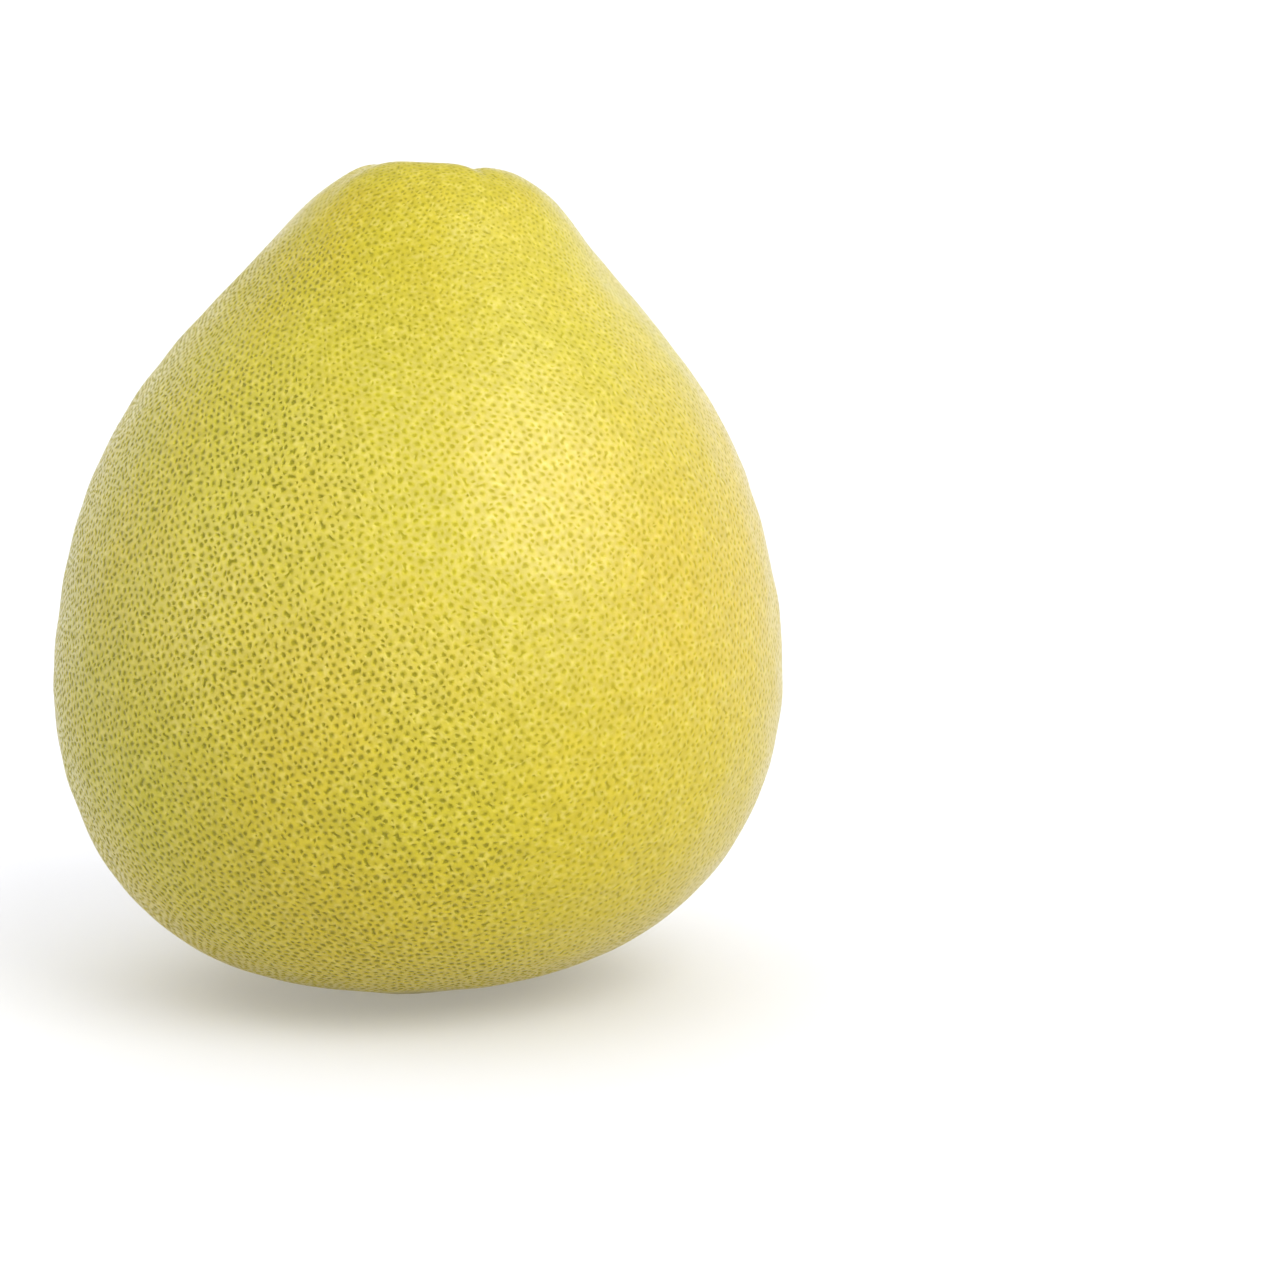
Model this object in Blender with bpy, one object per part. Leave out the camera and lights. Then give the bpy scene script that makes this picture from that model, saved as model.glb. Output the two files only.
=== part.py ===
"""A whole pomelo as picked, standing on its blossom end: the fruit and its stem button.

The fruit is one solid. Its section is a smooth curve through a few measured points, turned about
a middle line that leans a little, with soft furrows that run down from the stem hollow. Its peel is
pitted by oil glands, which are drawn larger than life. +X is the fruit's right, -Y its front, +Z up.
The origin is on the ground under the middle of the fruit.
"""

import math

import bmesh
import bpy
import numpy as np
from mathutils import Matrix, Vector, geometry

METRES = 0.001  # every size below is in millimetres

# The fruit's section, from the middle of its base to the middle of its stem hollow: (radius, height).
# The first point lies under the ground, which cuts the round base off to the flat resting spot.
SECTION = (
    (0.0, -1.9),
    (24.0, 3.2),
    (43.0, 8.8),
    (59.5, 20.0),
    (72.5, 39.0),
    (78.5, 61.5),
    (77.8, 83.5),
    (72.6, 106.5),
    (62.5, 128.0),
    (48.2, 146.5),
    (36.0, 160.0),
    (29.0, 168.3),
    (21.0, 175.4),
    (12.4, 178.3),
    (7.5, 175.8),
    (0.0, 172.2),
)
# How far the middle line stands to the right of the fruit's middle: (height, distance).
LEAN = (
    (0.0, -3.5),
    (20.0, -1.8),
    (60.0, -0.1),
    (90.0, 0.3),
    (120.0, 0.95),
    (147.0, 2.15),
    (162.0, 3.3),
    (180.0, 4.8),
)
RIM_RADIUS = 12.5  # of the rim round the stem hollow
SEAT_HEIGHT = 174.7  # of the hollow's flat floor, on which the stem button sits
SEAT_RADIUS = 5.5
NECK = (140.0, 178.0)  # the heights between which the neck takes on the rim's tilt
RIM_TILT = 1.8  # how far the rim rises above its mean height on its high side
RIM_HIGH_SIDE = math.radians(-111)

# Furrows down the neck: (direction in degrees, depth, half width, reach beyond the hollow's rim)
FURROWS = (
    (-54, 0.9, 2.4, 14),
    (14, 0.8, 3.4, 26),
    (78, 0.9, 3.2, 20),
    (146, 0.8, 3.6, 28),
    (-150, 0.6, 3.4, 24),
)
FURROW_START = (3.0, 9.0)  # the distances from the middle line between which a furrow deepens
FURROW_DOWN = 0.8  # the share of a furrow's depth that lowers the peel
FURROW_IN = 0.35  # the share that draws it in

# Soft swells round the belly: (waves round the fruit, size, start angle, height for one radian of twist)
SWELLS = ((3, 0.5, 0.6, 55.0), (5, 0.35, 2.0, -40.0))
SWELLS_RISE = (0.0, 30.0)  # the heights between which the swells come up to full size
SWELLS_FADE = (150.0, 175.0)  # and between which they go

# The pits of the oil glands, larger than life on the belly and finer towards both ends
BELLY_PITCH = 8.0
CROWN_PITCH = 3.0
CROWN_REACH = (12.5, 52.0)  # the radii between which the pitch grows from the crown's to the belly's
BASE_PITCH = 5.2
BASE_REACH = (10.0, 48.0)
MID_HEIGHT = 60.0  # between the part that thins towards the crown and the part that thins to the base
PIT_DEPTH = 0.6  # on the belly; a finer pit is shallower in proportion
GROUND_CLEARANCE = 1.5  # height at which the pits reach their full depth
PIT_SCATTER = 0.26  # how far a pit strays from its place, as a share of the pitch
SEED = 7

# The stem button: (radius, height above its underside), from the middle of its underside to its cut end
BUTTON_OUTLINE = (
    (0.0, 0.0),
    (4.1, 0.0),
    (4.7, 0.35),
    (4.6, 0.9),
    (3.6, 1.25),
    (2.7, 1.45),
    (2.35, 1.9),
    (2.3, 2.35),
    (1.9, 2.6),
    (0.0, 2.45),
)
BUTTON_SIDES = 30
SEPALS = 5
SEPAL_DEPTH = 0.16  # how far the rim is drawn in between two sepals, as a share of its radius
SEPAL_INNER = 2.7  # radius inside which the sepals don't show
SEAT_GAP = 0.3  # between the button and its seat

PEEL_COLOUR = (0.62, 0.54, 0.07, 1.0)
PEEL_ROUGHNESS = 0.45
PEEL_CREASE = math.radians(12)  # edges bent by more stay crisp, so that a ridge shows between two pits
BUTTON_COLOUR = (0.23, 0.15, 0.07, 1.0)
BUTTON_ROUGHNESS = 0.85
BUTTON_CREASE = math.radians(40)

GOLDEN_ANGLE = math.pi * (3 - math.sqrt(5))
FINE_STEPS = 4001  # samples along the section where lengths and areas are added up


def ramp(low, high, value):
    """0 below low, 1 above high, and a smooth rise between them."""
    share = np.clip((value - low) / (high - low), 0, 1)
    return share * share * (3 - 2 * share)


def natural_spline(knots, values):
    """The smooth cubic curve through values at knots, as a function of the knot number."""
    count = len(knots)
    gaps = np.diff(knots)
    system = np.eye(count)
    bends = np.zeros_like(values)
    slopes = (np.diff(values, axis=0).T / gaps).T
    for i in range(1, count - 1):
        system[i, i - 1 : i + 2] = gaps[i - 1], 2 * (gaps[i - 1] + gaps[i]), gaps[i]
        bends[i] = 6 * (slopes[i] - slopes[i - 1])
    bends = np.linalg.solve(system, bends)

    def curve(at):
        i = np.clip(np.searchsorted(knots, at, side="right") - 1, 0, count - 2)
        spread = (...,) + (None,) * (values.ndim - 1)
        gap = gaps[i][spread]
        to_next = (knots[i + 1] - at)[spread]
        from_last = (at - knots[i])[spread]
        return (
            (bends[i] * to_next**3 + bends[i + 1] * from_last**3) / (6 * gap)
            + (values[i] / gap - bends[i] * gap / 6) * to_next
            + (values[i + 1] / gap - bends[i + 1] * gap / 6) * from_last
        )

    return curve


def section_curve():
    """The section as (radius, height) for a share of its length, 0 at the base and 1 in the hollow.

    Three points are mirrored past each end, so that the curve crosses the middle line level.
    """
    points = np.array(SECTION)
    lengths = np.concatenate([[0], np.cumsum(np.hypot(*np.diff(points, axis=0).T))])
    share = lengths / lengths[-1]
    mirrored = points * (-1, 1)
    knots = np.concatenate([-share[3:0:-1], share, 2 - share[-2:-5:-1]])
    return natural_spline(knots, np.vstack([mirrored[3:0:-1], points, mirrored[-2:-5:-1]]))


section_at = section_curve()
lean_at = natural_spline(*np.array(LEAN).T)


def furrow_depth(radius, height, turn):
    """How deep the furrows are at a point, in millimetres."""
    depth = np.zeros_like(radius)
    for degrees, deepest, half_width, reach in FURROWS:
        away = turn - math.radians(degrees)
        along = radius * np.cos(away)
        across = radius * np.sin(away)
        fade = ramp(*FURROW_START, along) * (1 - ramp(RIM_RADIUS, RIM_RADIUS + reach, along))
        depth += deepest * np.exp(-((across / half_width) ** 2)) * fade * (height > NECK[0])
    return depth


def fruit_surface(share, turn):
    """Points of the peel, before its pits, at a share of the section's length and a turn about +Z."""
    radius, height = np.moveaxis(section_at(share), -1, 0)
    tilt = RIM_TILT * np.cos(turn - RIM_HIGH_SIDE) * np.clip(radius / RIM_RADIUS, 0, 1)
    height = height + ramp(*NECK, height) * tilt
    belly = ramp(*SWELLS_RISE, height) * (1 - ramp(*SWELLS_FADE, height))
    for waves, swell, start, twist in SWELLS:
        radius = radius + belly * swell * np.cos(waves * turn + start + height / twist)
    furrow = furrow_depth(radius, height, turn)
    radius = radius - FURROW_IN * furrow
    height = np.maximum(height - FURROW_DOWN * furrow, 0)
    in_hollow = (height > NECK[0]) & (radius < RIM_RADIUS)
    height = np.where(in_hollow, np.maximum(height, SEAT_HEIGHT), height)
    across = radius * np.cos(turn) + lean_at(height)
    return np.stack([across, radius * np.sin(turn), height], -1)


def pitch_at(share):
    """The distance between neighbouring pits at a share of the section's length."""
    radius, height = np.moveaxis(section_at(share), -1, 0)
    from_base = BASE_PITCH + (BELLY_PITCH - BASE_PITCH) * ramp(*BASE_REACH, radius)
    from_crown = CROWN_PITCH + (BELLY_PITCH - CROWN_PITCH) * ramp(*CROWN_REACH, radius)
    return np.where(height < MID_HEIGHT, from_base, from_crown)


class Layout:
    """Where the pits lie: their shares of the section's length and their turns about +Z.

    Each pit has an equal share of the peel's area, measured in pitches, and is turned by the golden
    angle from the one before. The peel is also carried to a ball by the map that keeps angles: the
    ball's latitude depends on the integral of length over radius. Neighbours on the ball are then
    neighbours on the fruit.
    """

    def __init__(self):
        self.shares = np.linspace(0, 1, FINE_STEPS)
        points = section_at(self.shares)
        radius = np.maximum((points[1:, 0] + points[:-1, 0]) / 2, 0.02)
        steps = np.hypot(*np.diff(points, axis=0).T)
        pitch = pitch_at((self.shares[1:] + self.shares[:-1]) / 2)
        self.length = steps.sum()
        self.counts = np.concatenate(
            [[0], np.cumsum(2 * math.pi * radius * steps / (math.sqrt(0.75) * pitch**2))]
        )
        self.stretch = np.concatenate([[0], np.cumsum(steps / radius)])
        self.stretch -= np.interp(0.5, self.shares, self.stretch)

    def places(self):
        """The shares and turns of all pits, the base's middle first and the hollow's middle last."""
        rng = np.random.default_rng(SEED)
        number = np.arange(1, int(self.counts[-1]))
        share = np.interp(number, self.counts, self.shares)
        scatter = rng.uniform(-PIT_SCATTER, PIT_SCATTER, (2, len(number))) * pitch_at(share)
        share = share + scatter[0] / self.length
        radius = section_at(share)[:, 0]
        turn = number * GOLDEN_ANGLE + scatter[1] / radius
        return np.concatenate([[0], share, [1]]), np.concatenate([[0], turn, [0]])

    def on_plane(self, share, turn):
        """The same angle-keeping map, to a plane: the base's middle is the origin."""
        reach = np.exp(np.interp(share, self.shares, self.stretch))
        return np.stack([reach * np.cos(turn), reach * np.sin(turn)], -1)

    def on_ball(self, share, turn):
        """Points of the unit ball, the base's middle at its lowest point."""
        flat = self.on_plane(share, turn)
        square = (flat**2).sum(-1, keepdims=True)
        return np.concatenate([2 * flat, square - 1], -1) / (square + 1)

    def on_fruit(self, ball):
        """Points of the peel for points of the unit ball."""
        wide = np.maximum(np.hypot(ball[:, 0], ball[:, 1]), 1e-9)
        reach = np.where(ball[:, 2] > 0, (1 + ball[:, 2]) / wide, wide / np.maximum(1 - ball[:, 2], 1e-9))
        share = np.interp(np.log(reach), self.stretch, self.shares)
        return fruit_surface(share, np.arctan2(ball[:, 1], ball[:, 0]))


def pitted_ball(layout, share, turn):
    """A bmesh on the unit ball with a fan of triangles round each pit, the pits its first vertices.

    Neighbouring pits are linked in triangles, each triangle gets a point in its middle, and each link
    is turned to join the middles on its two sides. What is left round a pit is its own small polygon.
    """
    last = len(share) - 1
    flat = layout.on_plane(share[:last], turn[:last])
    faces = geometry.delaunay_2d_cdt([Vector(p) for p in flat], [], [], 0, 0.0)[2]
    mesh = bmesh.new()
    for point in layout.on_ball(share[:last], turn[:last]):
        mesh.verts.new(point)
    top = mesh.verts.new((0, 0, 1))
    mesh.verts.ensure_lookup_table()
    for face in faces:
        mesh.faces.new([mesh.verts[i] for i in face])
    mesh.verts.index_update()
    for edge in [e for e in mesh.edges if e.is_boundary]:
        mesh.faces.new([*edge.verts, top])
    bmesh.ops.recalc_face_normals(mesh, faces=mesh.faces)
    links = list(mesh.edges)
    bmesh.ops.poke(mesh, faces=mesh.faces)
    bmesh.ops.rotate_edges(mesh, edges=links, use_ccw=False)
    for vertex in mesh.verts:
        vertex.co.normalize()
    return mesh


def middle_of_fruit():
    """The middle of the fruit's extents in X and Y, found on a fine grid of its surface."""
    share, turn = np.meshgrid(np.linspace(0, 1, 400), np.linspace(0, 2 * math.pi, 361))
    points = fruit_surface(share, turn).reshape(-1, 3)
    return (points.min(0) + points.max(0))[:2] / 2


def pit_depths(share, places):
    """The depth of each pit, none on the resting spot or on the button's seat."""
    above_ground = ramp(0, GROUND_CLEARANCE, places[:, 2])
    beside_seat = ramp(SEAT_RADIUS, RIM_RADIUS, section_at(share)[:, 0])
    off_seat = np.where(places[:, 2] > NECK[0], beside_seat, 1)
    return PIT_DEPTH * pitch_at(share) / BELLY_PITCH * above_ground * off_seat


def add_object(name, mesh, colour, roughness, crease, collection):
    """A new object of this mesh, in millimetres until here, with its own material."""
    mesh.transform(Matrix.Scale(METRES, 4))
    material = bpy.data.materials.new(name)
    material.use_nodes = True
    shader = material.node_tree.nodes["Principled BSDF"]
    shader.inputs["Base Color"].default_value = colour
    shader.inputs["Roughness"].default_value = roughness
    shader.inputs["Metallic"].default_value = 0.0
    mesh.materials.append(material)
    mesh.shade_smooth()
    mesh.set_sharp_from_angle(angle=crease)
    made = bpy.data.objects.new(name, mesh)
    collection.objects.link(made)
    return made


def make_fruit(collection, middle):
    """The fruit: the pitted ball carried onto the fruit's surface, with each pit pressed in."""
    layout = Layout()
    share, turn = layout.places()
    pitted = pitted_ball(layout, share, turn)
    places = layout.on_fruit(np.array([v.co for v in pitted.verts]))
    for vertex, place in zip(pitted.verts, places):
        vertex.co = place
    pitted.normal_update()
    pitted.verts.ensure_lookup_table()
    for i, depth in enumerate(pit_depths(share, places[: len(share)])):
        pitted.verts[i].co -= pitted.verts[i].normal * depth
    mesh = bpy.data.meshes.new("fruit")
    pitted.to_mesh(mesh)
    pitted.free()
    mesh.transform(Matrix.Translation((-middle[0], -middle[1], 0)))
    return add_object("fruit", mesh, PEEL_COLOUR, PEEL_ROUGHNESS, PEEL_CREASE, collection)


def make_stem_button(collection, middle):
    """The stem button: an outline turned about its middle, its rim drawn in between five sepals."""
    turned = bmesh.new()
    outline = [turned.verts.new((radius, 0, height)) for radius, height in BUTTON_OUTLINE]
    edges = [turned.edges.new(pair) for pair in zip(outline, outline[1:])]
    bmesh.ops.spin(
        turned,
        geom=outline + edges,
        cent=(0, 0, 0),
        axis=(0, 0, 1),
        angle=2 * math.pi,
        steps=BUTTON_SIDES,
        use_merge=True,
    )
    bmesh.ops.remove_doubles(turned, verts=turned.verts, dist=0.01)
    bmesh.ops.recalc_face_normals(turned, faces=turned.faces)
    for vertex in turned.verts:
        radius = math.hypot(vertex.co.x, vertex.co.y)
        if radius > SEPAL_INNER:
            turn = math.atan2(vertex.co.y, vertex.co.x)
            drawn_in = SEPAL_DEPTH * (1 - abs(math.cos(SEPALS * turn / 2)))
            scale = 1 - drawn_in * (radius - SEPAL_INNER) / (BUTTON_OUTLINE[2][0] - SEPAL_INNER)
            vertex.co.x *= scale
            vertex.co.y *= scale
    mesh = bpy.data.meshes.new("stem_button")
    turned.to_mesh(mesh)
    turned.free()
    across = float(lean_at(np.array(SEAT_HEIGHT)))
    mesh.transform(Matrix.Translation((across - middle[0], -middle[1], SEAT_HEIGHT + SEAT_GAP)))
    return add_object("stem_button", mesh, BUTTON_COLOUR, BUTTON_ROUGHNESS, BUTTON_CREASE, collection)


def main():
    """Clears the scene and makes the two pieces in one collection."""
    for old in list(bpy.data.objects):
        bpy.data.objects.remove(old, do_unlink=True)
    collection = bpy.data.collections.new("pomelo")
    bpy.context.scene.collection.children.link(collection)
    middle = middle_of_fruit()
    make_fruit(collection, middle)
    make_stem_button(collection, middle)


main()
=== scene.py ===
"""Looks of a whole pomelo: its pitted, waxy peel and its dry stem button, on a pale studio floor.

Sizes are in millimetres and become metres when a mesh is made. The form of the fruit follows the
same named values as its solid: a section curve turned about a leaning middle line.
"""

import logging
import math
from collections.abc import Callable
from dataclasses import dataclass, field
from enum import Enum

import bpy
import numpy as np
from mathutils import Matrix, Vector, geometry


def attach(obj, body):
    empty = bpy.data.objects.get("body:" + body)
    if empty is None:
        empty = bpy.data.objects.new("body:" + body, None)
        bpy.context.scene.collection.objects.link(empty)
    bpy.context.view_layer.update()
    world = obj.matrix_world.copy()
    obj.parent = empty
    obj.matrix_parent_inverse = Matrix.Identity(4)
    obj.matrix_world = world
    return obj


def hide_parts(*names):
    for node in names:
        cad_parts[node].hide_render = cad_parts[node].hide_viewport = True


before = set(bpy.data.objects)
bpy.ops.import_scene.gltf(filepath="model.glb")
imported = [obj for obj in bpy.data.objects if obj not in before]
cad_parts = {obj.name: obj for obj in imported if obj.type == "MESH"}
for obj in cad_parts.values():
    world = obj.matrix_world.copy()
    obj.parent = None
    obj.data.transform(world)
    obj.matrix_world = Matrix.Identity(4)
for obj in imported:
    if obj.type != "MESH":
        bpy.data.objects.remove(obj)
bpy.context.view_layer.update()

MM = 0.001
GOLDEN_ANGLE = math.pi * (3 - math.sqrt(5))
BODY = "root"
BAKE_MAP = "OFBake"
PIT = "pit"
SMOOTH = "smooth"
LOG = logging.getLogger("pomelo")

Array = np.ndarray
Pair = tuple[float, float]
Triple = tuple[float, float, float]
Colour = tuple[float, float, float, float]
Socket = bpy.types.NodeSocket


class Node(Enum):
    """The solids that the new pieces stand for."""

    FRUIT = "fruit"
    STEM_BUTTON = "stem_button"


class Slot(Enum):
    """Names of the material slots."""

    PEEL = "peel"
    DRY_STEM = "dry_stem"


def ramp(low: float, high: float, value: Array) -> Array:
    """0 below low, 1 above high, and the smooth cubic rise 3t^2 - 2t^3 between them."""
    share = np.clip((value - low) / (high - low), 0, 1)
    return share * share * (3 - 2 * share)


def natural_spline(knots: Array, values: Array) -> Callable[[Array], Array]:
    """The smooth cubic curve through given values, straight at both of its ends.

    Args:
        knots: rising knot numbers.
        values: one value or one point for each knot.

    Returns:
        A function that gives the curve's value at each of an array of knot numbers.
    """
    count = len(knots)
    gaps = np.diff(knots)
    slopes = (np.diff(values, axis=0).T / gaps).T
    system = np.eye(count)
    inner = np.arange(1, count - 1)
    system[inner, inner - 1] = gaps[:-1]
    system[inner, inner] = 2 * (gaps[:-1] + gaps[1:])
    system[inner, inner + 1] = gaps[1:]
    bends = np.zeros_like(values)
    bends[1:-1] = 6 * np.diff(slopes, axis=0)
    bends = np.linalg.solve(system, bends)

    def curve(at: Array) -> Array:
        """The cubic through the two nearest knots, from their values and their bends."""
        i = np.clip(np.searchsorted(knots, at, side="right") - 1, 0, count - 2)
        spread = (...,) + (None,) * (values.ndim - 1)
        gap = gaps[i][spread]
        to_next = (knots[i + 1] - at)[spread]
        from_last = (at - knots[i])[spread]
        return (
            (bends[i] * to_next**3 + bends[i + 1] * from_last**3) / (6 * gap)
            + (values[i] / gap - bends[i] * gap / 6) * to_next
            + (values[i + 1] / gap - bends[i + 1] * gap / 6) * from_last
        )

    return curve


def vertex_normals(places: Array, faces: Array) -> Array:
    """Unit normals at the vertices: the sums of the cross products of the triangles' sides."""
    corners = places[faces]
    cross = np.cross(corners[:, 1] - corners[:, 0], corners[:, 2] - corners[:, 0])
    total = np.zeros_like(places)
    for corner in range(3):
        np.add.at(total, faces[:, corner], cross)
    return total / np.linalg.norm(total, axis=1, keepdims=True)


def plane_waves(places: Array, size: float, lengths: Pair, waves: int, seed: int) -> Array:
    """Soft random unevenness: the sum of plane sine waves in random directions.

    Args:
        places: points, in millimetres.
        size: the standard deviation of the result.
        lengths: the shortest and the longest wave length.
        waves: how many waves are added up.
        seed: the seed of the random draw.

    Returns:
        One height for each point.
    """
    rng = np.random.default_rng(seed)
    directions = rng.normal(size=(waves, 3))
    directions /= np.linalg.norm(directions, axis=1, keepdims=True)
    wave_lengths = np.exp(rng.uniform(*np.log(lengths), waves))
    phases = rng.uniform(0, 2 * math.pi, waves)
    turns = places @ (2 * math.pi * directions / wave_lengths[:, None]).T + phases
    return size * math.sqrt(2 / waves) * np.sin(turns).sum(-1)


def lathe(grid: Array, closed: bool) -> tuple[Array, Array]:
    """A surface through rings of points that lie round an upright axis.

    Each square between neighbouring rings gives two triangles. The first ring is taken as one
    point, and so is the last ring of a closed surface.

    Args:
        grid: the points, a row of them for each ring.
        closed: whether the last ring is one point too.

    Returns:
        Places, and faces that look outward where the rings run upwards.
    """
    rings, sides = grid.shape[:2]
    ring = np.arange(rings - 1)[:, None] * sides
    side = np.arange(sides)
    after = (side + 1) % sides
    a, b = ring + side, ring + after
    c, d = b + sides, a + sides
    faces = np.concatenate([np.stack(f, -1).reshape(-1, 3) for f in ((a, b, c), (a, c, d))])
    numbers = np.arange(rings * sides)
    numbers[:sides] = 0
    if closed:
        numbers[-sides:] = (rings - 1) * sides
    faces = numbers[faces]
    kept = (faces != np.roll(faces, 1, axis=1)).all(1)
    used, faces = np.unique(faces[kept], return_inverse=True)
    return grid.reshape(-1, 3)[used], faces.reshape(-1, 3)


def make_object(name: str, places: Array, faces: Array) -> bpy.types.Object:
    """A smooth mesh object at the origin, from points in millimetres and triangles."""
    mesh = bpy.data.meshes.new(name)
    mesh.vertices.add(len(places))
    mesh.vertices.foreach_set("co", (places * MM).astype(np.float32).ravel())
    mesh.loops.add(faces.size)
    mesh.loops.foreach_set("vertex_index", faces.astype(np.int32).ravel())
    mesh.polygons.add(len(faces))
    mesh.polygons.foreach_set("loop_start", np.arange(0, faces.size, 3, dtype=np.int32))
    mesh.update(calc_edges=True)
    mesh.validate()
    mesh.shade_smooth()
    made = bpy.data.objects.new(name, mesh)
    bpy.context.scene.collection.objects.link(made)
    return made


def carry(piece: bpy.types.Object, node: Node) -> None:
    """Ties a piece to the fruit's body and hides the solid that it stands for."""
    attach(piece, BODY)
    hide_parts(node.value)
    LOG.info("%s: %d triangles", piece.name, len(piece.data.polygons))


@dataclass(frozen=True)
class Furrow:
    """A soft furrow that runs down the neck: its direction in degrees, and its sizes."""

    direction: float
    depth: float
    half_width: float
    reach: float


@dataclass(frozen=True)
class Swell:
    """A soft wave round the belly: how many, how high, its start angle, its height per radian."""

    waves: int
    size: float
    start: float
    twist: float


@dataclass
class FruitForm:
    """The outer form of the fruit before its pits.

    A place on it has two numbers: the share of the section's length, 0 in the middle of the base
    and 1 in the middle of the stem hollow, and the turn about the upright axis.
    """

    section: tuple[Pair, ...] = (
        (0.0, -1.9),
        (24.0, 3.2),
        (43.0, 8.8),
        (59.5, 20.0),
        (72.5, 39.0),
        (78.5, 61.5),
        (77.8, 83.5),
        (72.6, 106.5),
        (62.5, 128.0),
        (48.2, 146.5),
        (36.0, 160.0),
        (29.0, 168.3),
        (21.0, 175.4),
        (12.4, 178.3),
        (7.5, 175.8),
        (0.0, 172.2),
    )
    lean: tuple[Pair, ...] = (
        (0.0, -3.5),
        (20.0, -1.8),
        (60.0, -0.1),
        (90.0, 0.3),
        (120.0, 0.95),
        (147.0, 2.15),
        (162.0, 3.3),
        (180.0, 4.8),
    )
    rim_radius: float = 12.5
    seat_height: float = 174.7
    seat_radius: float = 5.5
    neck: Pair = (140.0, 178.0)
    rim_tilt: float = 1.8
    rim_high_side: float = math.radians(-111)
    furrows: tuple[Furrow, ...] = (
        Furrow(-54, 0.9, 2.4, 14),
        Furrow(14, 0.8, 3.4, 26),
        Furrow(78, 0.9, 3.2, 20),
        Furrow(146, 0.8, 3.6, 28),
        Furrow(-150, 0.6, 3.4, 24),
    )
    furrow_start: Pair = (3.0, 9.0)
    furrow_down: float = 0.8
    furrow_in: float = 0.35
    swells: tuple[Swell, ...] = (Swell(3, 0.5, 0.6, 55.0), Swell(5, 0.35, 2.0, -40.0))
    swells_rise: Pair = (0.0, 30.0)
    swells_fade: Pair = (150.0, 175.0)

    def __post_init__(self) -> None:
        """Works out the section, the leaning middle line and the middle of the fruit's extents."""
        self.section_at = self._section_curve()
        self.lean_at = natural_spline(*np.array(self.lean).T)
        self.middle = np.zeros(3)
        share, turn = np.meshgrid(np.linspace(0, 1, 400), np.linspace(0, 2 * math.pi, 361))
        points = self.surface(share, turn).reshape(-1, 3)
        self.middle[:2] = (points.min(0) + points.max(0))[:2] / 2

    def _section_curve(self) -> Callable[[Array], Array]:
        """The section as (radius, height), with three points mirrored past each end."""
        points = np.array(self.section)
        lengths = np.concatenate([[0], np.cumsum(np.hypot(*np.diff(points, axis=0).T))])
        share = lengths / lengths[-1]
        mirrored = points * (-1, 1)
        knots = np.concatenate([-share[3:0:-1], share, 2 - share[-2:-5:-1]])
        return natural_spline(knots, np.vstack([mirrored[3:0:-1], points, mirrored[-2:-5:-1]]))

    def furrow_depth(self, radius: Array, height: Array, turn: Array) -> Array:
        """The furrows' depth: a bell curve across each, fading along it beyond the rim."""
        depth = np.zeros_like(radius)
        for furrow in self.furrows:
            away = turn - math.radians(furrow.direction)
            along = radius * np.cos(away)
            across = radius * np.sin(away) / furrow.half_width
            fade = 1 - ramp(self.rim_radius, self.rim_radius + furrow.reach, along)
            fade = fade * ramp(*self.furrow_start, along) * (height > self.neck[0])
            depth += furrow.depth * np.exp(-(across**2)) * fade
        return depth

    def surface(self, share: Array, turn: Array) -> Array:
        """Places on the form, from shares and turns.

        The section's radius and height are turned about the middle line. The neck's height takes
        the rim's tilt, the radius takes the swells, the furrows lower and draw in the neck, the
        ground cuts the base flat, and the seat fills the bottom of the hollow.

        Args:
            share: shares of the section's length.
            turn: turns about the upright axis, in the same shape.

        Returns:
            Points in millimetres, one for each share and turn.
        """
        radius, height = np.moveaxis(self.section_at(share), -1, 0)
        tilt = np.cos(turn - self.rim_high_side) * np.clip(radius / self.rim_radius, 0, 1)
        height = height + ramp(*self.neck, height) * self.rim_tilt * tilt
        belly = ramp(*self.swells_rise, height) * (1 - ramp(*self.swells_fade, height))
        for swell in self.swells:
            wave = np.cos(swell.waves * turn + swell.start + height / swell.twist)
            radius = radius + belly * swell.size * wave
        furrow = self.furrow_depth(radius, height, turn)
        radius = radius - self.furrow_in * furrow
        height = np.maximum(height - self.furrow_down * furrow, 0)
        in_hollow = (height > self.neck[0]) & (radius < self.rim_radius)
        height = np.where(in_hollow, np.maximum(height, self.seat_height), height)
        across = radius * np.cos(turn) + self.lean_at(height)
        return np.stack([across, radius * np.sin(turn), height], -1) - self.middle

    def axis_at(self, height: float) -> Array:
        """The point of the leaning middle line at a height."""
        return np.array([float(self.lean_at(np.array(height))), 0, height]) - self.middle


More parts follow.
